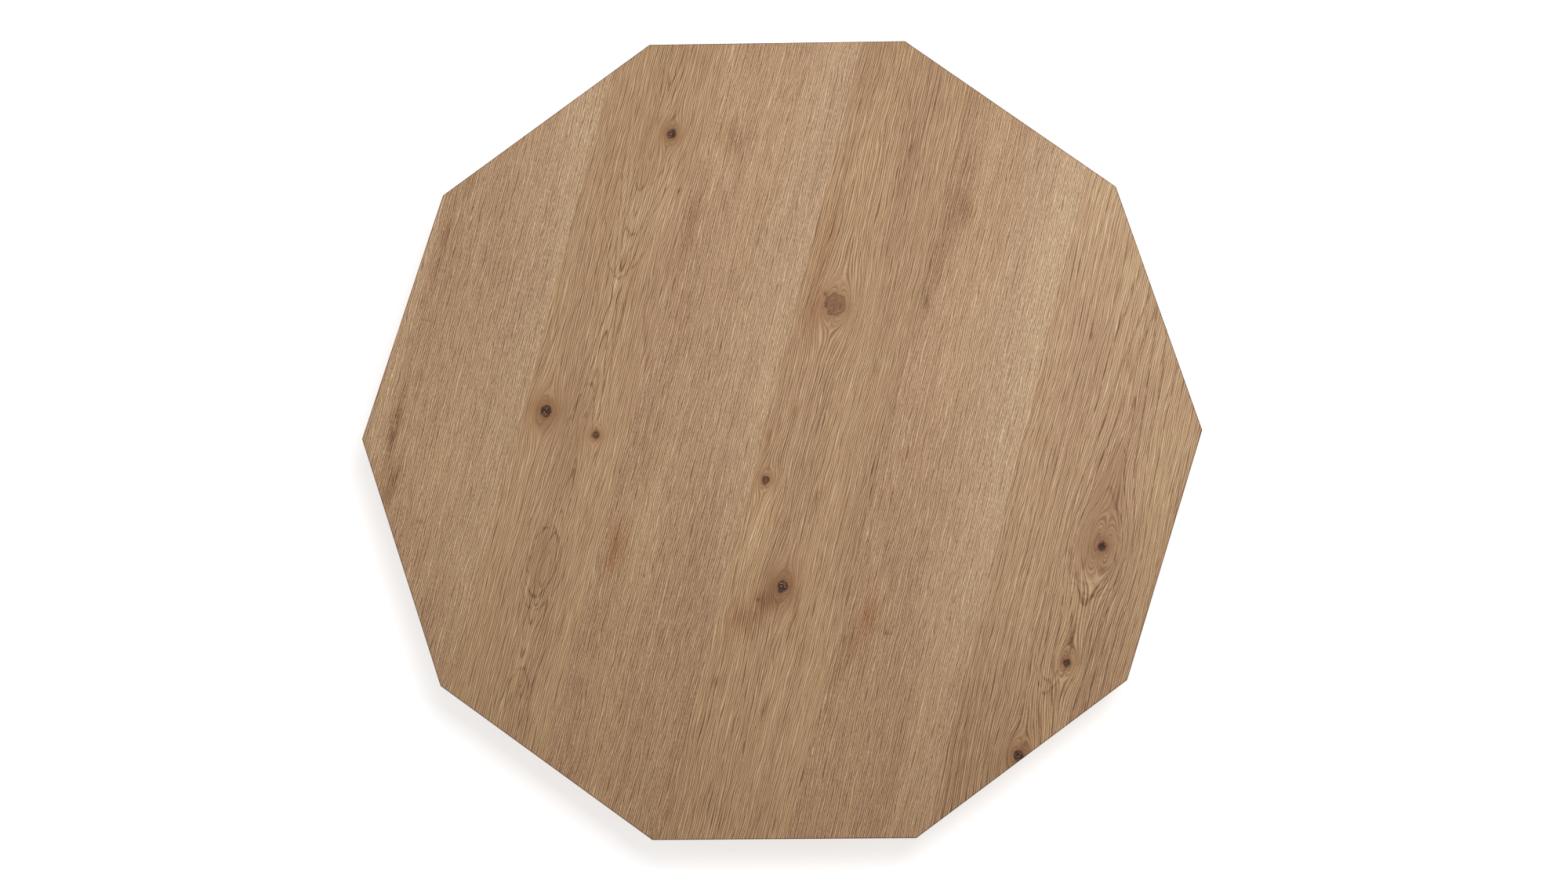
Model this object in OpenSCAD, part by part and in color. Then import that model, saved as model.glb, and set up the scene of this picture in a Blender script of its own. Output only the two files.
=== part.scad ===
// Ten-sided crokinole board with a lift-off plank cover.
//
// The board stands on five rubber feet, +Z up, with the origin on the resting
// surface below its centre. Two corners lie on the X axis, and two flats face
// +Y and -Y. All lengths are in millimetres.
//
// Stack, from the bottom: feet, base panel, round playing surface inside ten
// mitred rails, felt pads, and the cover, whose top face is seven oak leaves.

/* [Playing surface] */
// Diameter of the round playing surface
play_d = 660.4; // [640:0.1:720]
// Thickness of the playing surface
play_t = 16; // [14:0.5:22]
// Diameter of the centre hole
hole_d = 34.9; // [33:0.1:40]
// Diameter of the inner circle, on which the pegs stand
inner_d = 203.2; // [180:0.1:220]
// Diameter of the middle circle
middle_d = 406.4; // [380:0.1:430]
// Diameter of the outer circle, the shooting line
outer_d = 609.6; // [560:0.1:620]
// Width of the inlaid lines
line_w = 1.5; // [1:0.1:3]
// Depth of the inlaid lines
line_t = 1; // [0.5:0.1:2]

/* [Pegs] */
// Outer diameter of a rubber peg sleeve
sleeve_d = 9.5; // [8:0.1:12]
// Height of a rubber peg sleeve
sleeve_h = 15; // [12:0.5:17]
// Shank diameter of a peg screw
peg_screw_d = 4; // [3:0.1:5]

/* [Discs] */
// Diameter of a playing disc
disc_d = 31.8; // [30:0.1:32.4]
// Thickness of a playing disc
disc_t = 9.5; // [8:0.1:12]

/* [Frame] */
// Width of the ditch at the middle of a rail
ditch_w = 48; // [42:0.5:60]
// Thickness of a rail
rail_t = 19; // [17:0.5:25]
// Height of the rail top above the ditch floor
rail_h = 42; // [40:0.5:60]
// Radius of the rails' long edges
rail_r = 3; // [1:0.5:4]
// Thickness of the base panel
base_t = 10; // [8:0.5:16]
// Height of a rubber foot
foot_h = 8; // [7:0.5:15]
// Diameter of a rubber foot where it meets the base
foot_d = 30; // [24:0.5:40]

/* [Cover] */
// How far the cover stands out past the rails
overhang = 4; // [0:0.5:8]
// Thickness of the oak leaves on the top face
leaf_t = 3; // [2:0.5:5]
// Thickness of the cover's core
core_t = 12; // [10:0.5:18]
// Thickness of the backing sheet under the core
backing_t = 2; // [1:0.5:3]
// Width of the solid lippings round the core
lipping_w = 12; // [8:0.5:16]
// Angle between the leaves and the Y axis, clockwise from above
grain_angle = 14.6; // [0:0.1:30]
// Height of the cleats that keep the cover in place
cleat_h = 10; // [6:0.5:14]
// Thickness of the felt pads between the cover and the rails
pad_t = 1; // [0.5:0.1:2]

/* [Hidden] */
$fn = 96;
sides = 10;
half = 180 / sides;

// Heights of the layers
base_z = foot_h;
floor_z = base_z + base_t;
play_z = floor_z + play_t;
rail_top = floor_z + rail_h;
cover_z = rail_top + pad_t;
core_z = cover_z + backing_t;
leaf_z = core_z + core_t;

// Distances from the centre to the flats
rail_in = play_d / 2 + ditch_w;
rail_out = rail_in + rail_t;
cover_out = rail_out + overhang;
core_out = cover_out - lipping_w;

// The base panel sits in a rabbet along the foot of each rail
rabbet = 10;
base_out = rail_in + rabbet - 0.3;

// Clearances: round a shank in its bore, and beside an inlaid line
bore_gap = 0.1;
inlay_gap = 0.03;

// Pegs: eight on the inner circle, two to each quarter
pegs = 8;
peg_turn = 22.5;
peg_bite = 12;
peg_head_d = 8;
peg_head_h = 3.4;
peg_line_gap = 1;

// Discs: twelve of each colour lie side by side in the ditch
discs = 12;
disc_r = play_d / 2 + ditch_w / 2;
disc_spacing = 1;
disc_step = 2 * asin((disc_d + disc_spacing) / 2 / disc_r);
disc_lift = 0.3;
disc_edge = 1.6;
dish_d = 24;
dish_h = 0.5;

// Corner splines: thin keys across each mitre, at two heights
spline_t = 3;
spline_depth = 14.6;
spline_z = [floor_z + 6, rail_top - 14];

// Countersunk screws: shank, head, and where they go
csk_d = 3.5;
csk_head_d = 7;
csk_head_h = 2.2;
rail_screw_l = base_t + 25;
rail_screw_y = 60;
panel_screws = 8;
panel_screw_r = 250;
panel_screw_l = base_t + 10;
cleat_screw_l = cleat_h + backing_t + 8;
cleat_screw_y = 42;

// Feet, under every other rail
feet = 5;
foot_r = rail_in - 40;
foot_taper = 1.5;
foot_well_d = 11;
foot_well_h = 4;
foot_screw_d = 4;
foot_head_h = 2.5;

// Cover: the seams between the leaves, as shares of the distance to a flat
seams = [-0.97, -0.641, -0.371, -0.042, 0.259, 0.588];
leaves = len(seams) + 1;
arris = 1;
cleats = 5;
cleat_w = 15;
cleat_l = 120;
cleat_gap = 2;
pad_l = 40;
pad_w = 10;
felt_t = 1;

// A length that is simply longer than anything it cuts, and a small overlap
far = 1200;
eps = 0.01;

// Names with a number at the end, such as rail_01
function two(i) = str(i < 10 ? "0" : "", i);
function rail_name(i) = str("rail_", two(i));
function lipping_name(i) = str("cover_lipping_", two(i));
function leaf_name(i) = str("cover_leaf_", i);
function cleat_name(i) = str("cover_cleat_", i);
function foot_name(i) = str("rubber_foot_", i);

// Angle of the middle of side i, counted from 1
function side_angle(i) = half + 2 * half * (i - 1);

// ---------------------------------------------------------------- shared shapes

// Regular ten-sided plate, given the distance to its flats
module plate(out, z, t)
    translate([0, 0, z]) linear_extrude(t) circle(r = out / cos(half), $fn = sides);

// Tube along a circle, from radius r - w/2 to r + w/2
module ring(r, w, z, t)
    translate([0, 0, z]) difference() {
        cylinder(h = t, r = r + w / 2);
        translate([0, 0, -eps]) cylinder(h = t + 2 * eps, r = r - w / 2);
    }

// One side of a mitred frame: a section in the plane of radius and height, run along side i
module mitred_side(i)
    rotate(side_angle(i)) intersection() {
        rotate([90, 0, 0]) linear_extrude(far, center = true) children();
        linear_extrude(far / 4) polygon([[0, 0], [far, far * tan(half)], [far, -far * tan(half)]]);
    }

// Cross recess of a screw whose head faces down at the origin
module cross_recess(size, depth)
    for (a = [0, 90]) rotate(a)
        translate([-size / 2, -size / 10, -eps]) cube([size, size / 5, depth + eps]);

// Space that a countersunk screw takes, with its head down at the origin
module csk_space(length, gap = 0)
    union() {
        cylinder(h = csk_head_h, d1 = csk_head_d + 2 * gap, d2 = csk_d + 2 * gap);
        cylinder(h = length + gap, d = csk_d + 2 * gap);
    }

module csk_screw(length)
    difference() {
        csk_space(length);
        cross_recess(4.4, 1.2);
    }

// ---------------------------------------------------------------- places

module at_pegs()
    for (i = [0:pegs - 1]) rotate(peg_turn + i * 360 / pegs) translate([inner_d / 2, 0, 0]) children();

module at_rail_screws()
    for (i = [1:sides], y = [-1, 1])
        rotate(side_angle(i)) translate([rail_in + rabbet / 2, y * rail_screw_y, base_z]) children();

module at_panel_screws()
    for (i = [0:panel_screws - 1])
        rotate(i * 360 / panel_screws) translate([panel_screw_r, 0, base_z]) children();

module at_foot(i)
    rotate(side_angle(2 * i - 1)) translate([foot_r, 0, 0]) children();

module at_cleat(i)
    rotate(side_angle(2 * i - 1)) translate([rail_in - cleat_gap - cleat_w / 2, 0, cover_z - cleat_h])
        children();

module at_cleat_screws(i)
    at_cleat(i) for (y = [-1, 1]) translate([0, y * cleat_screw_y, 0]) children();

// ---------------------------------------------------------------- cover

// The whole top face, with a small arris all round
module cover_face()
    hull() {
        plate(cover_out, leaf_z, leaf_t - arris);
        plate(cover_out - arris, leaf_z, leaf_t);
    }

// Leaf i: the part of the top face between two seams
module cover_leaf(i) {
    low = i == 1 ? -far / 2 : seams[i - 2] * cover_out;
    high = i == leaves ? far / 2 : seams[i - 1] * cover_out;
    color("burlywood") intersection() {
        cover_face();
        rotate(-grain_angle) translate([low, -far / 2, leaf_z - 1]) cube([high - low, far, leaf_t + 2]);
    }
}

module cover_core()
    color("tan") difference() {
        plate(core_out, core_z, core_t);
        for (i = [1:cleats]) at_cleat_screws(i) csk_space(cleat_screw_l, bore_gap);
    }

module cover_backing()
    color("peru") difference() {
        plate(core_out, cover_z, backing_t);
        for (i = [1:cleats]) at_cleat_screws(i) csk_space(cleat_screw_l, bore_gap);
    }

module cover_lipping(i)
    color("burlywood") mitred_side(i) polygon([
        [core_out, cover_z], [cover_out - arris, cover_z], [cover_out, cover_z + arris],
        [cover_out, leaf_z], [core_out, leaf_z]
    ]);

module cover_cleat(i)
    color("burlywood") difference() {
        at_cleat(i) rotate([90, 0, 0]) linear_extrude(cleat_l, center = true) polygon([
            [-cleat_w / 2, 0], [cleat_w / 2 - cleat_gap, 0], [cleat_w / 2, 2 * cleat_gap],
            [cleat_w / 2, cleat_h], [-cleat_w / 2, cleat_h]
        ]);
        at_cleat_screws(i) csk_space(cleat_screw_l, bore_gap);
    }

module cover_cleat_screws()
    color("gold") for (i = [1:cleats]) at_cleat_screws(i) csk_screw(cleat_screw_l);

module cover_felt_pads()
    color("darkgreen") for (i = [1:sides]) rotate(side_angle(i))
        translate([rail_in + rail_t / 2, 0, rail_top + pad_t / 2]) cube([pad_w, pad_l, pad_t], center = true);

// ---------------------------------------------------------------- board

module base_panel()
    color("tan") difference() {
        plate(base_out, base_z, base_t);
        at_rail_screws() csk_space(rail_screw_l, bore_gap);
        at_panel_screws() csk_space(panel_screw_l, bore_gap);
        for (i = [1:feet]) at_foot(i)
            translate([0, 0, base_z - eps]) cylinder(h = base_t - 1, d = foot_screw_d + 2 * bore_gap);
    }

// Grooves for the lines are cut a hair wider than the lines
module playing_surface()
    color("wheat") difference() {
        translate([0, 0, floor_z]) rotate_extrude() polygon([
            [hole_d / 2, 0], [play_d / 2, 0], [play_d / 2, play_t - arris], [play_d / 2 - arris, play_t],
            [hole_d / 2 + arris / 2, play_t], [hole_d / 2, play_t - arris / 2]
        ]);
        circle_line(inner_d, inlay_gap, true);
        circle_line(middle_d, inlay_gap);
        circle_line(outer_d, inlay_gap);
        quadrants(inlay_gap);
        at_pegs() translate([0, 0, play_z - peg_bite]) cylinder(h = far, d = peg_screw_d + 2 * bore_gap);
        at_panel_screws() csk_space(panel_screw_l, bore_gap);
    }

// One circle line, inlaid flush with the playing surface and stopped short of the pegs
module circle_line(d, gap = 0, stopped = false)
    difference() {
        ring(d / 2, line_w + 2 * gap, play_z - line_t, line_t + (gap > 0 ? 1 : 0));
        if (stopped) at_pegs() cylinder(h = far, d = sleeve_d + 2 * peg_line_gap - 2 * gap);
    }

// Four lines that quarter the outer zone, between the middle and outer circles
module quadrants(gap = 0) {
    start = middle_d / 2 + line_w / 2 + 0.1;
    length = outer_d / 2 - line_w / 2 - 0.1 - start;
    for (a = [45:90:315]) rotate(a)
        translate([start - gap, -line_w / 2 - gap, play_z - line_t])
            cube([length + 2 * gap, line_w + 2 * gap, line_t + (gap > 0 ? 1 : 0)]);
}

module inner_circle_line() color("saddlebrown") circle_line(inner_d, 0, true);
module middle_circle_line() color("saddlebrown") circle_line(middle_d);
module outer_circle_line() color("saddlebrown") circle_line(outer_d);
module quadrant_lines() color("saddlebrown") quadrants();

module hole_felt()
    color("darkgreen") translate([0, 0, floor_z]) cylinder(h = felt_t, d = hole_d - 0.4);

// Round-head screws that hold the sleeves
module peg_screws()
    color("gold") at_pegs() difference() {
        head_r = (pow(peg_head_d / 2, 2) + pow(peg_head_h, 2)) / (2 * peg_head_h);
        union() {
            translate([0, 0, play_z - peg_bite]) cylinder(h = peg_bite + sleeve_h, d = peg_screw_d);
            intersection() {
                translate([0, 0, play_z + sleeve_h + peg_head_h - head_r]) sphere(r = head_r);
                translate([0, 0, play_z + sleeve_h]) cylinder(h = far, d = far);
            }
        }
        translate([-far / 2, -0.5, play_z + sleeve_h + peg_head_h - 1.3]) cube([far, 1, far]);
    }

module peg_sleeves()
    color("dimgray") at_pegs() translate([0, 0, play_z]) difference() {
        cylinder(h = sleeve_h, d = sleeve_d);
        translate([0, 0, -eps]) cylinder(h = sleeve_h + 2 * eps, d = peg_screw_d + 4 * bore_gap);
    }

// Rail section: rounded long edges on top and outside, and the rabbet for the base panel
module rail_section() {
    low = base_z;
    tall = rail_top - low;
    difference() {
        union() {
            translate([rail_in, low]) square([rail_t - rail_r, tall - rail_r]);
            translate([rail_in + rail_r, low + rail_r]) square([rail_t - rail_r, tall - 2 * rail_r]);
            translate([rail_in + rail_r, rail_top - rail_r]) square([rail_t - 2 * rail_r, rail_r]);
            translate([rail_out - rail_r, low + rail_r]) circle(rail_r);
            translate([rail_out - rail_r, rail_top - rail_r]) circle(rail_r);
            translate([rail_in + rail_r, rail_top - rail_r]) circle(rail_r);
        }
        translate([rail_in - 1, low - 1]) square([rabbet + 1, base_t + 1]);
    }
}

module rail(i)
    color("burlywood") difference() {
        mitred_side(i) rail_section();
        corner_splines(i);
        corner_splines(i + 1);
        at_rail_screws() csk_space(rail_screw_l, bore_gap);
    }

// Keys let into the corner at the start of side i, sawn off flush with the rails
module corner_splines(i)
    for (z = spline_z) intersection() {
        plate(rail_out, z, spline_t);
        rotate(side_angle(i) - half) translate([rail_out / cos(half) - spline_depth, -far / 2, z - 1])
            cube([far, far, spline_t + 2]);
    }

module rail_corner_splines()
    color("saddlebrown") for (i = [1:sides]) corner_splines(i);

module rail_screws()
    color("gold") at_rail_screws() csk_screw(rail_screw_l);

module panel_screws()
    color("gold") at_panel_screws() csk_screw(panel_screw_l);

module rubber_foot(i)
    color("dimgray") at_foot(i) difference() {
        cylinder(h = foot_h, d1 = foot_d - 2 * foot_taper, d2 = foot_d);
        translate([0, 0, -eps]) cylinder(h = foot_well_h + eps, d = foot_well_d);
        cylinder(h = far, d = foot_screw_d + 2 * bore_gap);
    }

module foot_screws()
    color("gold") for (i = [1:feet]) at_foot(i) difference() {
        union() {
            translate([0, 0, foot_well_h - foot_head_h]) cylinder(h = foot_head_h, d = 2 * foot_screw_d);
            translate([0, 0, foot_well_h - eps])
                cylinder(h = foot_h - foot_well_h + base_t - 2, d = foot_screw_d);
        }
        translate([0, 0, foot_well_h - foot_head_h]) cross_recess(4.8, 1.3);
    }

// ---------------------------------------------------------------- discs

// Playing disc with a rounded rim and a shallow dish in its upper face
module disc() {
    dish_r = (pow(dish_d / 2, 2) + pow(dish_h, 2)) / (2 * dish_h);
    rim = disc_d / 2 - disc_edge;
    rotate_extrude() difference() {
        union() {
            square([rim, disc_t]);
            translate([0, disc_edge]) square([disc_d / 2, disc_t - 2 * disc_edge]);
            translate([rim, disc_edge]) circle(disc_edge);
            translate([rim, disc_t - disc_edge]) circle(disc_edge);
        }
        translate([0, disc_t - dish_h + dish_r]) circle(dish_r);
        translate([-far, -1]) square([far, far]);
    }
}

// Twelve discs side by side in the ditch, about the direction middle
module disc_row(middle)
    for (i = [0:discs - 1]) rotate(middle + (i - (discs - 1) / 2) * disc_step)
        translate([disc_r, 0, floor_z + disc_lift]) disc();

module light_discs() color("navajowhite") disc_row(0);
module dark_discs() color("sienna") disc_row(180);

for (i = [1:leaves]) cover_leaf(i);
cover_core();
cover_backing();
for (i = [1:sides]) cover_lipping(i);
for (i = [1:cleats]) cover_cleat(i);
cover_cleat_screws();
cover_felt_pads();
base_panel();
playing_surface();
inner_circle_line();
middle_circle_line();
outer_circle_line();
quadrant_lines();
hole_felt();
peg_screws();
peg_sleeves();
for (i = [1:sides]) rail(i);
rail_corner_splines();
rail_screws();
panel_screws();
for (i = [1:feet]) rubber_foot(i);
foot_screws();
light_discs();
dark_discs();
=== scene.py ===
"""Looks of a ten-sided crokinole board under its lift-off plank cover.

The cover's top is seven oak leaves, whose grain leans away from the Y axis. Every
material is procedural and reads object coordinates, which for a CAD node are its
place at rest in metres. Lengths in the materials are in millimetres.
"""

import math

import bpy
from mathutils import Matrix, Vector


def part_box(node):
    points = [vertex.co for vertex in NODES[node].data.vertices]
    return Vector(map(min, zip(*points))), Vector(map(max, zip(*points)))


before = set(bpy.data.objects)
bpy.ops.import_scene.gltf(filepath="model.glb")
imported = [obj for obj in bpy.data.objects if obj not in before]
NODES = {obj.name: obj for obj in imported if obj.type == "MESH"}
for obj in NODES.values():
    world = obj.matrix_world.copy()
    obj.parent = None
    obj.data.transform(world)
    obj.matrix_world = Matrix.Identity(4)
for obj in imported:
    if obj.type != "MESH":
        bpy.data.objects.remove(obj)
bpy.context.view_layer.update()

# ---------------------------------------------------------------- places taken from the frame

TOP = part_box("cover_leaf_4")[1].z
PLAY_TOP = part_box("playing_surface")[1].z
SIDES = 10
HALF_SIDE = math.pi / SIDES
GRAIN_LEAN = math.radians(14.6)
MM = 1000.0


def side_angle(i):
    """Direction of the middle of side i, counted from 1."""
    return HALF_SIDE + 2 * HALF_SIDE * (i - 1)


# ---------------------------------------------------------------- shader arithmetic

class Wire:
    """A number or vector inside a shader. Arithmetic on it makes Math nodes."""

    def __init__(self, graph, socket):
        self.graph = graph
        self.socket = socket

    def __add__(self, other):
        return self.graph.math("ADD", self, other)

    __radd__ = __add__

    def __sub__(self, other):
        return self.graph.math("SUBTRACT", self, other)

    def __rsub__(self, other):
        return self.graph.math("SUBTRACT", other, self)

    def __mul__(self, other):
        return self.graph.math("MULTIPLY", self, other)

    __rmul__ = __mul__

    def __truediv__(self, other):
        return self.graph.math("DIVIDE", self, other)

    def __abs__(self):
        return self.graph.math("ABSOLUTE", self)


def linear(r, g, b):
    """A colour given as 0 to 255 screen values, as the shader wants it."""
    def one(c):
        c /= 255
        return c / 12.92 if c <= 0.04045 else ((c + 0.055) / 1.055) ** 2.4
    return (one(r), one(g), one(b), 1.0)


class Graph:
    """One node material, written as arithmetic."""

    def __init__(self, name):
        self.material = bpy.data.materials.new(name)
        self.material.use_nodes = True
        self.tree = self.material.node_tree
        self.tree.nodes.clear()
        self.shader = self.tree.nodes.new("ShaderNodeBsdfPrincipled")
        output = self.tree.nodes.new("ShaderNodeOutputMaterial")
        self.tree.links.new(self.shader.outputs[0], output.inputs["Surface"])
        place = self.tree.nodes.new("ShaderNodeTexCoord").outputs["Object"]
        parts = self.tree.nodes.new("ShaderNodeSeparateXYZ")
        self.tree.links.new(place, parts.inputs[0])
        self.x, self.y, self.z = (Wire(self, parts.outputs[k]) * MM for k in range(3))

    def plug(self, value, socket):
        if isinstance(value, Wire):
            self.tree.links.new(value.socket, socket)
        else:
            socket.default_value = value

    def add(self, kind, inputs, **settings):
        node = self.tree.nodes.new(kind)
        for key, value in settings.items():
            setattr(node, key, value)
        for key, value in inputs.items():
            self.plug(value, node.inputs[key])
        return Wire(self, node.outputs[0])

    def math(self, operation, *values):
        return self.add("ShaderNodeMath", dict(enumerate(values)), operation=operation)

    def vector(self, x, y, z=0.0):
        return self.add("ShaderNodeCombineXYZ", {0: x, 1: y, 2: z})

    def noise(self, x, y, z=0.0, detail=2.0, roughness=0.5):
        """Smooth noise about 0.5, with features about one unit across."""
        inputs = {"Vector": self.vector(x, y, z), "Scale": 1.0, "Detail": detail, "Roughness": roughness}
        return self.add("ShaderNodeTexNoise", inputs)

    def random(self, x, y):
        """A different number from 0 to 1 for each whole x and y."""
        return self.add("ShaderNodeTexWhiteNoise", {"Vector": self.vector(x, y)}, noise_dimensions="3D")

    def rise(self, value, low, high, smooth=True):
        """0 below low, 1 above high. With low above high it falls instead."""
        inputs = {"Value": value, "From Min": low, "From Max": high, "To Min": 0.0, "To Max": 1.0}
        kind = "SMOOTHSTEP" if smooth else "LINEAR"
        return self.add("ShaderNodeMapRange", inputs, interpolation_type=kind, clamp=True)

    def hill(self, value, middle, width):
        """1 at middle, falling to nearly 0 two widths away."""
        off = (value - middle) / width
        return self.math("EXPONENT", off * off * -1.0)

    def spot(self, u, v, at, size):
        """1 at the point at, falling to nearly 0 two sizes away."""
        du = (u - at[0]) / size[0]
        dv = (v - at[1]) / size[1]
        return self.math("EXPONENT", (du * du + dv * dv) * -1.0)

    def mix(self, share, a, b, blend="MIX"):
        """Colour a where share is 0, and b where it is 1."""
        node = self.tree.nodes.new("ShaderNodeMix")
        node.data_type = "RGBA"
        node.blend_type = blend
        self.plug(share, node.inputs[0])
        self.plug(a, node.inputs[6])
        self.plug(b, node.inputs[7])
        return Wire(self, node.outputs[2])

    def tint(self, colour, share, by):
        """The colour multiplied by the colour by, where share is 1."""
        return self.mix(share, colour, by, "MULTIPLY")

    def finish(self, colour, roughness, height=None, depth_mm=0.1, **constants):
        """Plugs the results into the shader. constants are sockets that are the same all over."""
        self.plug(colour, self.shader.inputs["Base Color"])
        self.plug(roughness, self.shader.inputs["Roughness"])
        for name, value in constants.items():
            self.shader.inputs[name.replace("_", " ")].default_value = value
        if height is not None:
            inputs = {"Height": height, "Strength": 1.0, "Distance": depth_mm / MM}
            bump = self.add("ShaderNodeBump", inputs)
            self.tree.links.new(bump.socket, self.shader.inputs["Normal"])
        return self.material


def paint(node, material):
    """Gives a CAD node its material."""
    slots = NODES[node].data.materials
    slots.clear()
    slots.append(material)


def edge_share(g, flat=0.6, upright=0.3):
    """1 where the upward part of the normal is below upright, and 0 where it is above flat."""
    normal = g.tree.nodes.new("ShaderNodeNewGeometry").outputs["Normal"]
    parts = g.tree.nodes.new("ShaderNodeSeparateXYZ")
    g.tree.links.new(normal, parts.inputs[0])
    return g.rise(abs(Wire(g, parts.outputs[2])), flat, upright)


# ---------------------------------------------------------------- oak leaves of the cover

class Knot:
    """A knot at (u, v) in the grain frame, in millimetres.

    core is the radius of its dark middle and halo that of the reddish wood round it. The grain
    flows round a body of radius bend, which is stretch times as long as it is wide. dark is how
    strong its colours are, and crack how open its middle is, both from 0 to 1.
    """

    def __init__(self, u, v, core, halo, bend, stretch=2.0, dark=1.0, crack=1.0):
        self.u = u
        self.v = v
        self.core = core
        self.halo = halo
        self.bend = bend
        self.stretch = stretch
        self.dark = dark
        self.crack = crack


class Stain:
    """A soft patch at (u, v): how far it reaches across and along the grain, and its strength.

    It darkens the wood, or lightens it if its strength is below 0. red turns it from grey-brown
    at 0 to orange at 1.
    """

    def __init__(self, u, v, across, along, strength, red=0.3):
        self.at = (u, v)
        self.size = (across, along)
        self.strength = strength
        self.red = red


class Tongue:
    """A smooth patch inside one year line, where the cut lies flat in the growth rings.

    (u, v) is its middle, shade how much darker it is than the wood about it, and edge how dark
    the line round it is. taper makes it narrower at its upper end, or at its lower end if it is
    below 0. end is 1 where only its upper end is outlined, -1 where only its lower end is, and 0
    where all of it is.
    """

    def __init__(self, u, v, half_width, half_length, taper=0.0, shade=0.08, edge=0.18, end=0):
        self.u = u
        self.v = v
        self.half_width = half_width
        self.half_length = half_length
        self.taper = taper
        self.shade = shade
        self.edge = edge
        self.end = end


LEAF_MIDDLES = (-400, -323, -203, -83, 43.5, 170, 320)   # u, in millimetres
OAK_TONES = [(0.0, (66, 44, 28)), (0.25, (130, 95, 67)), (0.5, (169, 133, 101)),
             (0.75, (199, 169, 134)), (1.0, (227, 205, 175))]
YELLOW_CAST = linear(254, 254, 244)
PINK_CAST = linear(254, 252, 252)
ORANGE_CAST = linear(255, 232, 205)
KNOT_BLACK = linear(34, 25, 19)
FLECK = linear(196, 180, 154)
STREAKY_WIDTH = 7   # narrower stains break up into streaks
FIBRE_PITCH = 1.9
LEAF_FIBRE_PITCH = 1.95
FIBRE_WARP = 1.9    # how many pitches the noise can push a fibre aside


def oak_tone(g, tone):
    """Oak's colour from its darkest pores at 0 to its palest flecks at 1."""
    ramp = g.tree.nodes.new("ShaderNodeValToRGB")
    stops = ramp.color_ramp.elements
    for place, colour in OAK_TONES[1:-1]:
        stops.new(place).color = linear(*colour)
    stops[0].color = linear(*OAK_TONES[0][1])
    stops[-1].color = linear(*OAK_TONES[-1][1])
    g.plug(tone, ramp.inputs[0])
    return Wire(g, ramp.outputs[0])


def oak_colour(g, tone, hue):
    """Oak of the tone, pink where hue is 0 and yellow where it is 1."""
    return g.tint(oak_tone(g, tone), 1.0, g.mix(hue, PINK_CAST, YELLOW_CAST))


def fibres(g, s, warp, pitch):
    """A wave from -1 to 1 across the grain, pushed aside by the noise warp."""
    return g.math("SINE", (s / pitch + warp * FIBRE_WARP) * (2 * math.pi))


def grain_frame(g):
    """Across and along the leaves, in millimetres."""
    c, s = math.cos(GRAIN_LEAN), math.sin(GRAIN_LEAN)
    return g.x * c - g.y * s, g.x * s + g.y * c


def bent_grain(g, u, v, knots, wander, seed):
    """Distance across the grain, with lines of equal value that wander and flow round the knots."""
    s = u + (g.noise(u / 140, v / 240, seed, detail=1.0) - 0.5) * wander
    s = s + (g.noise(u / 24, v / 60, seed + 5, detail=1.0) - 0.5) * (wander * 0.3)
    for k in knots:
        du = u - k.u
        dv = (v - k.v) / k.stretch
        s = s - du * k.bend ** 2 / (du * du + dv * dv + (0.5 * k.bend) ** 2)
    return s


def year_lines(g, psi, v, spacing, seed):
    """1 where a year's open pores start, in broken dashes, and 0 between them."""
    year = (psi + (g.noise(psi / 40, v / 300, seed + 11, detail=0.0) - 0.5) * 12) / spacing
    year = year + (g.noise(psi / 2.5, v / 12, seed + 12, detail=1.0) - 0.5) * (1.3 / spacing)
    phase = g.math("FRACT", year)
    line = g.rise(phase, 0.70, 0.88) * g.rise(phase, 1.0, 0.93)
    dashes = g.rise(g.noise(psi / 1.8, v / 15, seed + 13, detail=1.0), 0.30, 0.55)
    weight = g.random(g.math("FLOOR", year), seed) * 0.7 + 0.3
    return line * dashes * weight


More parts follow.
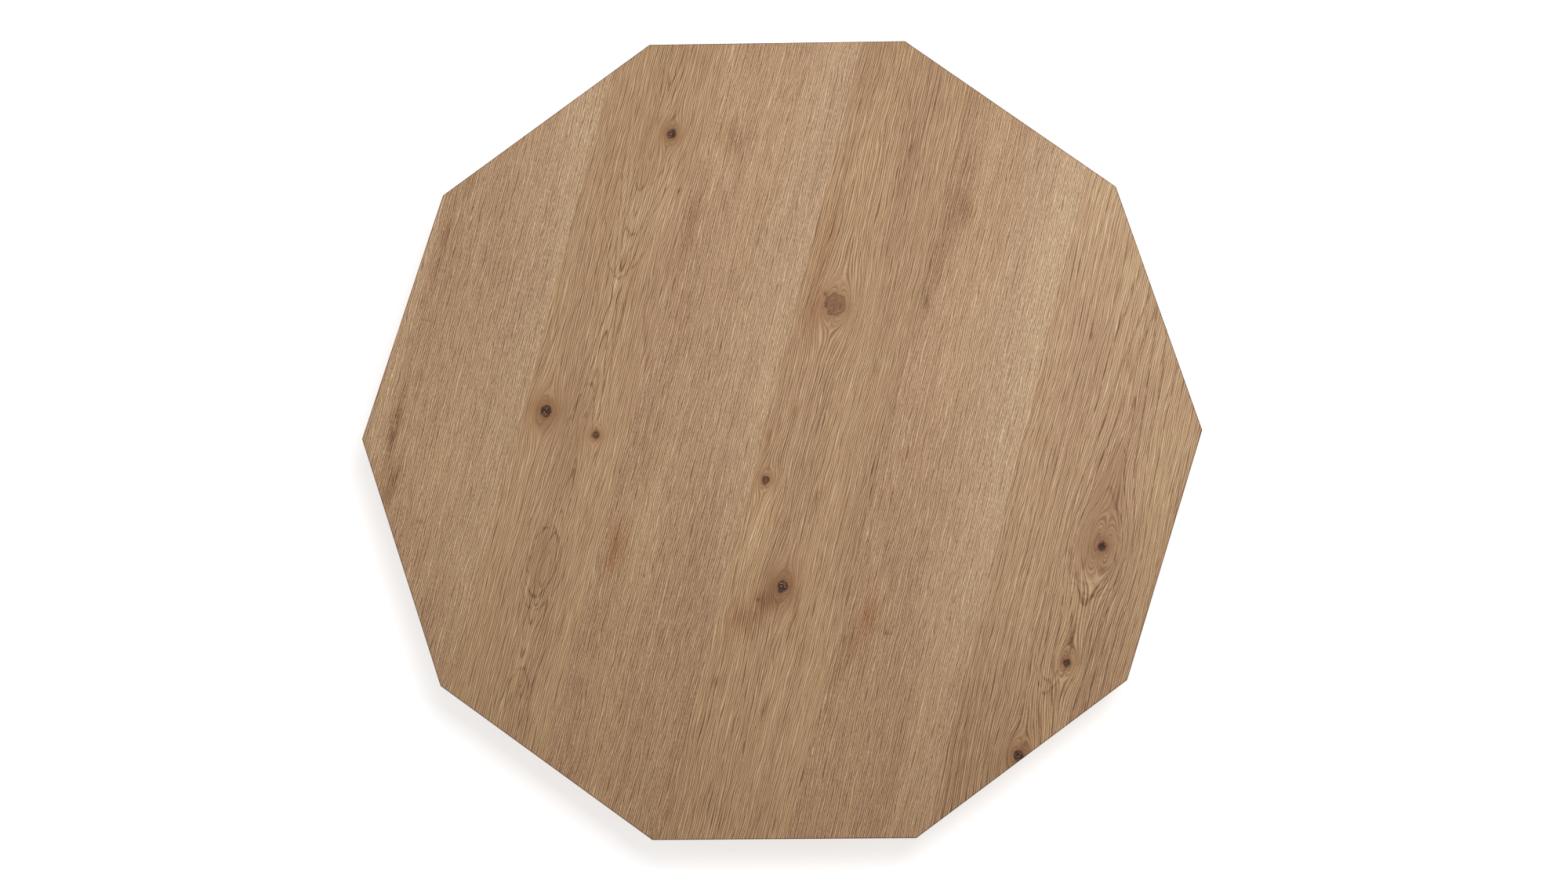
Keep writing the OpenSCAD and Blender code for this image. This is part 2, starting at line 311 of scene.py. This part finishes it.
def oak_leaf(number, seed, knots=(), stains=(), tongues=(), spacing=6.0, lines=0.2, wander=8.0, cast=0.0,
             tone=0.0, slope=(0.0, 0.0), speckle=0.5, length=30, flecks=None, vein=None, figure=None):
    """Oiled, brushed oak for one leaf, counted from 1 on the left.

    lines is how dark the year lines are, cast goes from pink at 0 to yellow at 1, tone lightens
    the leaf, slope lightens it towards larger u and v over 100 mm, and speckle roughens the fibres.
    length is how long the fibres are. flecks is the range of u over which pale flecks set in, with
    their strength. vein is the place, width and strength of a dark band. figure turns straight
    grain into another growth pattern.
    """
    g = Graph(f"oak_leaf_{number}")
    u, v = grain_frame(g)
    s = bent_grain(g, u, v, knots, wander, seed)
    psi, focus = (s, 0.6) if figure is None else figure(g, s, v)

    warp = g.noise(s / 3.5, v / length, seed + 1, detail=1.0)
    fibre = fibres(g, s, warp, LEAF_FIBRE_PITCH)
    fading = g.rise(g.noise(s / 1.6, v / (0.5 * length), seed + 6, detail=0.0), 0.25, 0.6)
    fibre = fibre * (fading * 0.75 + 0.25)
    streak = g.noise(s / 3.4, v / 80, seed + 2, detail=1.0) - 0.5
    band = g.noise(s / 9, v / 190, seed + 3, detail=0.0) - 0.5
    cloud = g.noise(s / 40, v / 320, seed + 4, detail=0.0) - 0.5
    dash = g.rise(g.noise(s / 0.75, v / 3.5, seed + 6, detail=0.0), 0.34, 0.66) - 0.5

    clear = 1.0
    for k in knots:
        clear = clear * (1 - g.spot(u, v, (k.u, k.v), (k.halo * 1.1, k.halo * 2.1)) * 0.9)
    smooth, outline, shade = 0.0, 0.0, 0.0
    if tongues:
        ragged = g.noise(u / 5, v / 10, seed + 21, detail=1.0) - 0.5
        broken = g.rise(g.noise(u / 6, v / 9, seed + 22, detail=0.0), 0.3, 0.55)
    for t in tongues:
        du = (u - t.u) * (1 + (v - t.v) * (t.taper / t.half_length)) / t.half_width
        dv = (v - t.v) / t.half_length
        q = g.math("SQRT", du * du + dv * dv) + ragged * (4 / t.half_width)
        inside = g.rise(q, 1.05, 0.70)
        smooth = g.math("MAXIMUM", inside * min(1.0, t.shade * 10), smooth)
        shade = g.math("MAXIMUM", inside * t.shade, shade)
        line = g.hill(q * t.half_width, t.half_width, 0.65) * broken * t.edge
        if t.end:
            line = line * g.rise(dv * t.end, -0.3, 0.5)
        outline = g.math("MAXIMUM", line, outline)
    if tongues:
        clear = clear * (1 - smooth * 0.65)
    ring = year_lines(g, psi, v, spacing, seed) * clear * (focus + 0.4)
    fine = (fibre * 0.24 + dash * (0.16 * speckle)) * clear
    level = fine + streak * 0.10 + band * 0.10 + cloud * 0.14
    level = level - ring * lines - outline - shade + (0.5 + tone)
    level = level + (u - LEAF_MIDDLES[number - 1]) * (slope[0] / 100) + v * (slope[1] / 100)

    if flecks is not None:
        low, high, strength = flecks
        zone = g.rise(u, low, high) * g.rise(v, -480, 200)
        pale = g.rise(g.noise((s + v * 0.12) / 0.75, v / 5, seed + 7, detail=0.0), 0.50, 0.75)
        silver = zone * (pale * 0.85 + 0.15) * strength
        level = level + silver
    if vein is not None:
        place, width, strength = vein
        patchy = g.rise(g.noise(s / 7, v / 150, seed + 8, detail=1.0), 0.30, 0.66)
        level = level - g.hill(s, place, width) * patchy * strength

    reddish = 0.0
    for stain in stains:
        ragged = g.rise(g.noise(s / 3, v / 18, seed + 9, detail=1.0), 0.25, 0.65)
        streaky = 0.8 if stain.size[0] < STREAKY_WIDTH else 0.3
        share = g.spot(u, v, stain.at, stain.size) * (ragged * streaky + (1 - streaky))
        level = level - share * (0.25 * stain.strength)
        reddish = reddish + share * (stain.red * abs(stain.strength))

    black = 0.0
    for k in knots:
        level, reddish, black = add_knot(g, u, v, k, level, reddish, black, seed)

    colour = oak_colour(g, level, g.rise(cloud * 1.5 + cast, 0.0, 1.0, smooth=False))
    colour = g.tint(colour, g.math("MINIMUM", reddish, 1.0), ORANGE_CAST)
    if flecks is not None:
        colour = g.mix(silver * 2.5, colour, FLECK)
    colour = g.mix(black, colour, KNOT_BLACK)
    # Painted shade: the chamfers and upright faces of the leaf are darkened to about half, partly for the
    # darker cut grain on them and partly as painted shade along the edges of the leaf.
    colour = g.tint(colour, edge_share(g, 0.97, 0.8) * 0.75, linear(150, 128, 108))

    height = fine - ring - black * 6
    rough = 0.60 - fine * 0.25
    return g.finish(colour, rough, height, depth_mm=0.10, Specular_IOR_Level=0.3)


def add_knot(g, u, v, k, level, reddish, black, seed):
    """Adds one knot: its reddish halo, growth rings, outlined core, and the cracks in it."""
    wobble = g.noise(u / 6, v / 8, seed + 0.1 * k.u, detail=1.0) - 0.5
    du = (u - k.u) + wobble * k.core
    dv = (v - k.v) / 1.15 + (g.noise(u / 5, v / 5, seed + 31, detail=1.0) - 0.5) * k.core
    r = g.math("SQRT", du * du + dv * dv)
    halo = g.math("EXPONENT", (r / k.halo) * (r / k.halo) * -1.0) * k.dark
    rings = g.math("SINE", r * (2 * math.pi / 1.9) + wobble * 6)
    core = g.rise(r, k.core * 1.2, k.core * 0.85) * k.dark
    rim = g.hill(r, k.core, 0.8) * k.dark
    level = level - halo * 0.24 - (halo + core) * rings * 0.06 - core * 0.12 - rim * 0.22
    reddish = reddish + halo * 0.6
    seams = abs(g.noise(u / 2.2, v / 2.8, seed + 41, detail=1.0) - 0.5)
    middle = g.rise(r, k.core * 1.0, k.core * 0.6)
    crack = g.rise(seams, 0.13, 0.05) * middle
    level = level + (middle - crack) * (0.16 * k.crack)
    return level, reddish, g.math("MINIMUM", black + crack * k.crack, 1.0)


def cathedral(g, s, v):
    """Flat-sawn figure: nested arches about a line along the leaf, and an eye below them.

    Returns the growth coordinate, and how near the middle of the figure a point is.
    """
    centre, eye, turn = -196, -187, 92
    across = s - centre
    away = g.math("SQRT", across * across + 6)
    climb = abs(v - eye) * 0.08 - g.math("MAXIMUM", v - turn, 0.0) * 0.19 + (1 - g.hill(v, eye, 50)) * 9
    return away + climb * g.hill(across, 0, 40), g.hill(across, 0, 18)


def ovals(g, s, v):
    """Flat-sawn figure: a long oval about the knots of the right-hand leaf."""
    centre, oval = 334, -35
    across = s - centre
    away = g.math("SQRT", across * across + 6)
    climb = abs(v - oval) * 0.06 + (1 - g.hill(v, oval, 60)) * 9
    return away + climb * g.hill(across, 0, 30), 0.6


def paint_leaves():
    paint("cover_leaf_1", oak_leaf(1, 3, speckle=0.8, length=32, cast=0.4, tone=0.10))
    paint("cover_leaf_2", oak_leaf(
        2, 17, spacing=3.4, lines=0.10, cast=0.35, tone=0.02, slope=(-0.05, 0.01), speckle=0.8, length=32,
        vein=(-374, 12, 0.10), flecks=(-340, -262, 0.11),
        stains=[Stain(-379, -85, 4, 26, 1.1), Stain(-366, -140, 5, 22, 1.0),
                Stain(-330, -172, 3, 3, 1.0, 0.8), Stain(-377, 115, 5, 40, 0.5)]))
    paint("cover_leaf_3", oak_leaf(
        3, 29, spacing=4.2, lines=0.28, cast=0.9, speckle=0.3, length=45, figure=cathedral,
        knots=[Knot(-182, 271, 3.6, 9, 8), Knot(-235, -34, 4.8, 14, 11),
               Knot(-180, -45, 3.3, 7, 6, crack=0.5)],
        tongues=[Tongue(-198, -57, 15, 62, 0.5, 0.03, 0.22, 1),
                 Tongue(-200, -181, 14, 36, -0.1, 0.04, 0.22),
                 Tongue(-197, 250, 20, 44, -0.6, 0.04, end=-1),
                 Tongue(-197, 236, 28, 75, -0.5, 0.0, end=-1),
                 Tongue(-199, 216, 37, 101, -0.5, 0.0, end=-1),
                 Tongue(-198, -190, 21, 40, -0.3, 0.0, end=-1),
                 Tongue(-192, -352, 10, 44, 0.5, 0.02, 0.16, 1),
                 Tongue(-192, -352, 19, 64, 0.5, 0.0, 0.14, 1)],
        stains=[Stain(-195, 135, 4, 9, 0.7), Stain(-185, 78, 1.3, 42, 1.0),
                Stain(-160, 216, 2, 3, 0.9), Stain(-170, 190, 8, 45, -0.5, 0.0)]))
    paint("cover_leaf_4", oak_leaf(
        4, 41, spacing=3.4, lines=0.10, cast=0.45, slope=(-0.02, 0.01), speckle=0.7, length=34,
        vein=(-128, 18, 0.04), flecks=(-88, -22, 0.10),
        stains=[Stain(-132, -151, 8, 24, 0.45, 1.9), Stain(-120, 281, 14, 16, 0.6),
                Stain(-99, -170, 2.5, 3, 1.0), Stain(-140, 190, 7, 45, 0.5)]))
    paint("cover_leaf_5", oak_leaf(
        5, 53, spacing=4.2, lines=0.22, wander=11, cast=0.8, tone=-0.02, speckle=0.35, length=45,
        knots=[Knot(22, 141, 9.5, 13, 14, dark=0.75, crack=0.0), Knot(-3, -48, 3.2, 7, 7, crack=0.4),
               Knot(39, -147, 4.6, 15, 9)],
        stains=[Stain(-2, 190, 10, 60, 0.3, 1.6), Stain(6, 125, 10, 22, 0.2, 1.6),
                Stain(9, 149, 1.5, 2, 1.4, 1.0), Stain(57, 313, 3, 9, 0.9),
                Stain(50, -57, 3, 14, 0.6), Stain(9, 26, 2.5, 6, 0.9, 1.0),
                Stain(-11, -7, 2.5, 12, 0.7, 1.0), Stain(18.5, -166, 1.8, 2, 1.9),
                Stain(26, -166, 11, 12, 0.8, 0.5), Stain(14, -188, 13, 15, 0.7, 0.5),
                Stain(58, -184, 4, 22, 0.7), Stain(51, -270, 3, 12, 0.8),
                Stain(-3, -255, 3, 5, 0.9), Stain(-2, -190, 6, 30, 0.3, 1.2),
                Stain(2, -90, 10, 45, -0.5, 0.2)]))
    paint("cover_leaf_6", oak_leaf(
        6, 67, spacing=3.4, lines=0.10, cast=0.4, slope=(0.02, 0.01), speckle=0.7, length=34,
        vein=(108, 9, 0.06), flecks=(150, 232, 0.16),
        stains=[Stain(129, -157, 9, 24, 0.45, 1.6), Stain(121, 284, 11, 44, 0.4),
                Stain(127, 262, 8, 12, 0.5), Stain(150, -167, 2.5, 3, 1.0),
                Stain(110, 166, 3, 9, 0.8), Stain(106, 220, 10, 80, 0.35),
                Stain(118, -190, 8, 26, 0.5)]))
    paint("cover_leaf_7", oak_leaf(
        7, 79, spacing=6.2, lines=0.26, wander=12, cast=0.6, tone=0.02, slope=(0, 0.025), speckle=0.35,
        length=45, figure=ovals,
        knots=[Knot(338, -31, 3.8, 9, 16, stretch=2.6, dark=0.8), Knot(331, -152, 2.8, 7, 9, crack=0.6),
               Knot(306, -253, 4.2, 11, 12)],
        tongues=[Tongue(332, 2, 19, 74, 0.5, 0.07, 0.14),
                 Tongue(336, -20, 27, 62, 0.3, 0.0, 0.12, -1),
                 Tongue(317, -136, 11, 40, -0.3, 0.0, 0.18, -1),
                 Tongue(316, -133, 19, 52, -0.3, 0.0, 0.18, -1)],
        stains=[Stain(341, 22, 2.5, 12, 0.9), Stain(279, 172, 3, 5, 0.9, 1.0),
                Stain(322, 158, 3, 12, 0.7), Stain(330, -128, 3, 15, 0.9),
                Stain(333, -182, 3, 12, 0.8), Stain(309, -225, 5, 18, 0.6)]))


paint_leaves()

# ---------------------------------------------------------------- straight-grained woods

def side_frame(g, angle):
    """Along and across a side of the board whose middle lies in direction angle."""
    c, s = math.cos(angle), math.sin(angle)
    return g.y * c - g.x * s, g.x * c + g.y * s


def straight_oak(name, angle, seed, tone=0.0):
    """Oak whose grain runs along a side of the board."""
    g = Graph(name)
    along, across = side_frame(g, angle)
    drift = (g.noise(along / 130, g.z / 60, seed, detail=1.0) - 0.5) * 8
    p = across * 0.8 + g.z + drift
    q = across - g.z * 0.8 + drift
    warp = g.noise(p / 3.5, q / 3.5, along / 30 + seed, detail=1.0)
    fibre = fibres(g, p, warp, FIBRE_PITCH)
    fibre = fibre * (g.noise(p / 1.6, q / 1.6, along / 14 + seed, detail=0.0) + 0.1)
    streak = g.noise(p / 3.4, q / 3.4, along / 80 + seed, detail=1.0) - 0.5
    cloud = g.noise(p / 30, q / 30, along / 200 + seed, detail=1.0) - 0.5
    pores = g.rise(g.noise(p / 0.7, q / 0.7, along / 6 + seed, detail=0.0), 0.56, 0.72)
    hairs = g.noise(p / 0.4, q / 0.4, along / 9 + seed, detail=1.0) - 0.5
    year = g.math("FRACT", (p + cloud * 16) / 5.2)
    ring = g.rise(year, 0.66, 0.88) * g.rise(year, 1.0, 0.93) * g.rise(warp, 0.3, 0.55)
    fine = fibre * 0.15 + hairs * 0.22 - pores * 0.13
    level = fine + streak * 0.16 + cloud * 0.30 - ring * 0.20 + (0.5 + tone)
    colour = oak_colour(g, level, g.rise(cloud * 1.5 + 0.6, 0.0, 1.0, smooth=False))
    return g.finish(colour, 0.60 - fine * 0.25, fine - ring, depth_mm=0.10, Specular_IOR_Level=0.3)


def paint_sides():
    for i in range(1, SIDES + 1):
        angle = side_angle(i)
        paint(f"rail_{i:02d}", straight_oak(f"rail_oak_{i:02d}", angle, 3.7 * i))
        paint(f"cover_lipping_{i:02d}", straight_oak(f"lipping_oak_{i:02d}", angle, 5.3 * i + 40))
    for i in range(1, 6):
        angle = side_angle(2 * i - 1)
        paint(f"cover_cleat_{i}", straight_oak(f"cleat_oak_{i}", angle, 7.1 * i + 90, -0.05))


paint_sides()


def ply_edge(g, top, pitch):
    """Bands of alternating plies down from top, 0 on the long-grain plies and 1 on the cross plies."""
    depth = (top * MM - g.z) / pitch
    return g.rise(g.math("PINGPONG", depth, 1.0), 0.46, 0.54)


def panel_wood(name, light, dark, seed, top, pitch, rough=0.45, coat=0.0):
    """A veneered plywood panel: face grain along X, and plies, pitch thick, on its edge."""
    g = Graph(name)
    drift = (g.noise(g.x / 260, g.y / 80, seed, detail=1.0) - 0.5) * 26
    s = g.y + drift
    fine = g.noise(g.x / 26, s / 0.9, seed + 1, detail=3.0, roughness=0.6)
    broad = g.noise(g.x / 320, s / 18, seed + 2, detail=2.0)
    year = g.math("FRACT", s / 7 + (broad - 0.5) * 1.5)
    face = g.mix(g.rise(broad, 0.3, 0.7) * 0.7, light, dark)
    face = g.tint(face, g.rise(fine, 0.5, 0.28) * 0.5, linear(222, 208, 190))
    face = g.tint(face, g.math("POWER", year, 4.0) * 0.45, linear(214, 190, 164))
    ply = ply_edge(g, top, pitch)
    speckle = g.noise(g.x / 0.7, g.y / 0.7, g.z / 0.4, detail=2.0)
    edge = g.mix(ply, linear(214, 184, 140), linear(168, 128, 86))
    edge = g.tint(edge, g.rise(speckle, 0.5, 0.3), linear(200, 180, 160))
    upright = edge_share(g)
    colour = g.mix(upright, face, edge)
    roughness = rough + (fine - 0.5) * 0.15 + upright * 0.2
    return g.finish(colour, roughness, fine, depth_mm=0.03, Coat_Weight=coat, Coat_Roughness=0.12)


MAPLE = linear(222, 190, 146)
MAPLE_DARK = linear(206, 168, 122)
BIRCH = linear(214, 184, 142)
BIRCH_DARK = linear(198, 162, 118)

paint("playing_surface", panel_wood("play_maple", MAPLE, MAPLE_DARK, 7, PLAY_TOP, 1.6, 0.3, 0.5))
paint("base_panel", panel_wood("base_birch", BIRCH, BIRCH_DARK, 19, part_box("base_panel")[1].z, 1.43))
paint("cover_core", panel_wood("core_birch", BIRCH, BIRCH_DARK, 23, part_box("cover_core")[1].z, 1.5))


STRIP_WIDTH = 118


def backing_oak():
    """Sliced oak sheet on the underside of the cover, in plain strips along the leaves above it."""
    g = Graph("backing_oak")
    u, v = grain_frame(g)
    strip = g.random(g.math("FLOOR", u / STRIP_WIDTH), 4.0)
    s = u + strip * 700 + (g.noise(u / 90, v / 300, 61, detail=1.0) - 0.5) * 16
    warp = g.noise(s / 3.5, v / 45, 62, detail=1.0)
    fibre = fibres(g, s, warp, FIBRE_PITCH)
    streak = g.noise(s / 3.4, v / 80, 63, detail=1.0) - 0.5
    cloud = g.noise(s / 40, v / 320, 64, detail=1.0) - 0.5
    ring = year_lines(g, s, v, 5.0, 65)
    fine = fibre * 0.10
    level = fine + streak * 0.2 + cloud * 0.2 - ring * 0.22 + (strip - 0.5) * 0.10 + 0.44
    colour = oak_colour(g, level, strip)
    return g.finish(colour, 0.65, fine - ring, depth_mm=0.08, Specular_IOR_Level=0.3)


paint("cover_backing", backing_oak())


def walnut(name, seed, coat):
    """Dark inlay wood, lacquered where coat is above 0."""
    g = Graph(name)
    fine = g.noise(g.x / 3, g.y / 3, g.z / 2 + seed, detail=4.0, roughness=0.65)
    colour = g.mix(g.rise(fine, 0.3, 0.7), linear(66, 42, 27), linear(104, 70, 46))
    return g.finish(colour, 0.55 + (fine - 0.5) * 0.2, fine, depth_mm=0.02,
                    Coat_Weight=coat, Coat_Roughness=0.15, Specular_IOR_Level=0.3)


line_wood = walnut("line_walnut", 1, 0.4)
for line in ("inner_circle_line", "middle_circle_line", "outer_circle_line", "quadrant_lines"):
    paint(line, line_wood)
paint("rail_corner_splines", walnut("spline_walnut", 9, 0.0))

# ---------------------------------------------------------------- discs

DITCH_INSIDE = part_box("playing_surface")[1].x * MM
DITCH_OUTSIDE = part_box("rail_03")[0].y * MM
DISC_RING = (DITCH_INSIDE + DITCH_OUTSIDE) / 2   # radius of the arc on which the discs lie
DISC_PITCH = 32.8                                # between the middles of neighbouring discs


def turned_disc(name, light, dark, seed):
    """Turned and polished wood, with the grain of each disc lying its own way."""
    g = Graph(name)
    ring = g.math("SQRT", g.x * g.x + g.y * g.y)
    turn = g.math("ARCTAN2", g.y, g.x)
    step = 2 * math.asin(DISC_PITCH / 2 / DISC_RING)
    place = turn / step + 0.5
    number = g.math("FLOOR", place)
    lot = g.random(number, seed)
    angle = lot * math.pi
    radial = ring - DISC_RING
    along = (place - number - 0.5) * (step * DISC_RING)
    c, s = g.math("COSINE", angle), g.math("SINE", angle)
    p = along * c - radial * s + lot * 300
    q = along * s + radial * c
    bend = (g.noise(p / 20, q / 12, seed, detail=1.0) - 0.5) * 8
    fine = g.noise(p / 9, (q + bend) / 0.7, g.z / 3 + seed, detail=3.0, roughness=0.6)
    year = g.math("FRACT", (q + bend + g.z * 0.3) / 3.4)
    colour = g.mix(g.rise(fine, 0.3, 0.7) * 0.5 + lot * 0.5, light, dark)
    colour = g.tint(colour, g.math("POWER", year, 3.0) * 0.5, linear(200, 176, 152))
    return g.finish(colour, 0.28 + (fine - 0.5) * 0.12, fine, depth_mm=0.02,
                    Coat_Weight=0.4, Coat_Roughness=0.1)


paint("light_discs", turned_disc("disc_maple", linear(232, 204, 162), linear(216, 182, 136), 5))
paint("dark_discs", turned_disc("disc_walnut", linear(112, 72, 46), linear(74, 45, 29), 6))

# ---------------------------------------------------------------- felt, rubber and metal

def felt(name):
    """Matted wool, with short crossed fibres."""
    g = Graph(name)
    one = g.noise(g.x / 0.25, g.y / 1.6, g.z / 0.3, detail=3.0, roughness=0.7)
    two = g.noise(g.x / 1.6, g.y / 0.25, g.z / 0.3 + 9, detail=3.0, roughness=0.7)
    fibre = g.math("MAXIMUM", one, two)
    colour = g.mix(g.rise(fibre, 0.45, 0.75), linear(16, 42, 28), linear(52, 92, 66))
    return g.finish(colour, 0.95, fibre, depth_mm=0.3, Sheen_Weight=0.4, Sheen_Roughness=0.6)


def rubber(name, shade, dust):
    """Moulded rubber with a faint bloom of dust."""
    g = Graph(name)
    grain = g.noise(g.x / 0.6, g.y / 0.6, g.z / 0.6, detail=4.0, roughness=0.6)
    bloom = g.noise(g.x / 9, g.y / 9, g.z / 9, detail=3.0)
    colour = g.mix(g.rise(bloom, 0.4, 0.7) * dust, linear(*shade), linear(96, 92, 86))
    return g.finish(colour, 0.7 + (grain - 0.5) * 0.3, grain, depth_mm=0.06)


def metal(name, light, dark, rough):
    """Turned metal with fine marks round and across it."""
    g = Graph(name)
    marks = g.noise(g.x / 2.2, g.y / 2.2, g.z / 0.08, detail=3.0, roughness=0.7)
    patches = g.noise(g.x / 2.5, g.y / 2.5, g.z / 2.5, detail=3.0)
    colour = g.mix(g.rise(patches, 0.35, 0.7), light, dark)
    return g.finish(colour, rough + (marks - 0.5) * 0.35, marks, depth_mm=0.01, Metallic=1.0)


green_felt = felt("green_felt")
paint("hole_felt", green_felt)
paint("cover_felt_pads", green_felt)
paint("peg_sleeves", rubber("peg_rubber", (30, 29, 28), 0.25))
foot_rubber = rubber("foot_rubber", (26, 26, 26), 0.4)
for i in range(1, 6):
    paint(f"rubber_foot_{i}", foot_rubber)
paint("peg_screws", metal("peg_brass", linear(214, 172, 92), linear(178, 132, 62), 0.28))
zinc = metal("zinc_plate", linear(200, 202, 204), linear(160, 163, 168), 0.32)
for screws in ("cover_cleat_screws", "rail_screws", "panel_screws", "foot_screws"):
    paint(screws, zinc)

# ---------------------------------------------------------------- floor, light and camera

def add_floor():
    """A pale floor to the horizon, a little below the feet so that the two don't coincide."""
    half = 150.0
    z = -0.0002
    mesh = bpy.data.meshes.new("floor")
    corners = [(-half, -half, z), (half, -half, z), (half, half, z), (-half, half, z)]
    mesh.from_pydata(corners, [], [(0, 1, 2, 3)])
    floor = bpy.data.objects.new("floor", mesh)
    bpy.context.scene.collection.objects.link(floor)
    g = Graph("floor_white")
    cloud = g.noise(g.x / 900, g.y / 900)
    white = g.mix(cloud, (0.86, 0.86, 0.86, 1), (0.88, 0.88, 0.88, 1))
    mesh.materials.append(g.finish(white, 0.9, Emission_Color=(1, 1, 1, 1), Emission_Strength=0.52))


def add_light(name, place, size, power):
    """A square lamp aimed at the origin, which the camera doesn't see."""
    light = bpy.data.lights.new(name, "AREA")
    light.shape = "SQUARE"
    light.size = size
    light.energy = power
    lamp = bpy.data.objects.new(name, light)
    bpy.context.scene.collection.objects.link(lamp)
    lamp.location = place
    lamp.rotation_euler = (-Vector(place)).to_track_quat("-Z", "Y").to_euler()
    lamp.visible_camera = False


def add_camera():
    """Almost straight above the cover, leaning back a little and turned half a degree."""
    centre = Vector((0, 0, TOP))
    place = centre + Vector((0.0469, -0.1986, 2.1755))
    aim = centre + Vector((0.0034, -0.0066, 0))
    turn = math.radians(0.52)
    look = (aim - place).normalized()
    up_hint = Vector((math.sin(turn), math.cos(turn), 0))
    right = look.cross(up_hint).normalized()
    up = right.cross(look)
    camera = bpy.data.objects.new("camera", bpy.data.cameras.new("camera"))
    camera.data.lens = 50
    camera.data.sensor_width = 36
    camera.matrix_world = Matrix.Translation(place) @ Matrix((right, up, -look)).transposed().to_4x4()
    bpy.context.scene.collection.objects.link(camera)
    bpy.context.scene.camera = camera


def set_world(strength):
    world = bpy.data.worlds.new("studio")
    world.use_nodes = True
    world.node_tree.nodes["Background"].inputs[0].default_value = (1, 1, 1, 1)
    world.node_tree.nodes["Background"].inputs[1].default_value = strength
    bpy.context.scene.world = world


add_camera()
add_floor()
set_world(0.44)
add_light("key", (0.26, 0.36, 1.45), 0.8, 13.8)
bpy.context.scene.view_settings.view_transform = "Standard"
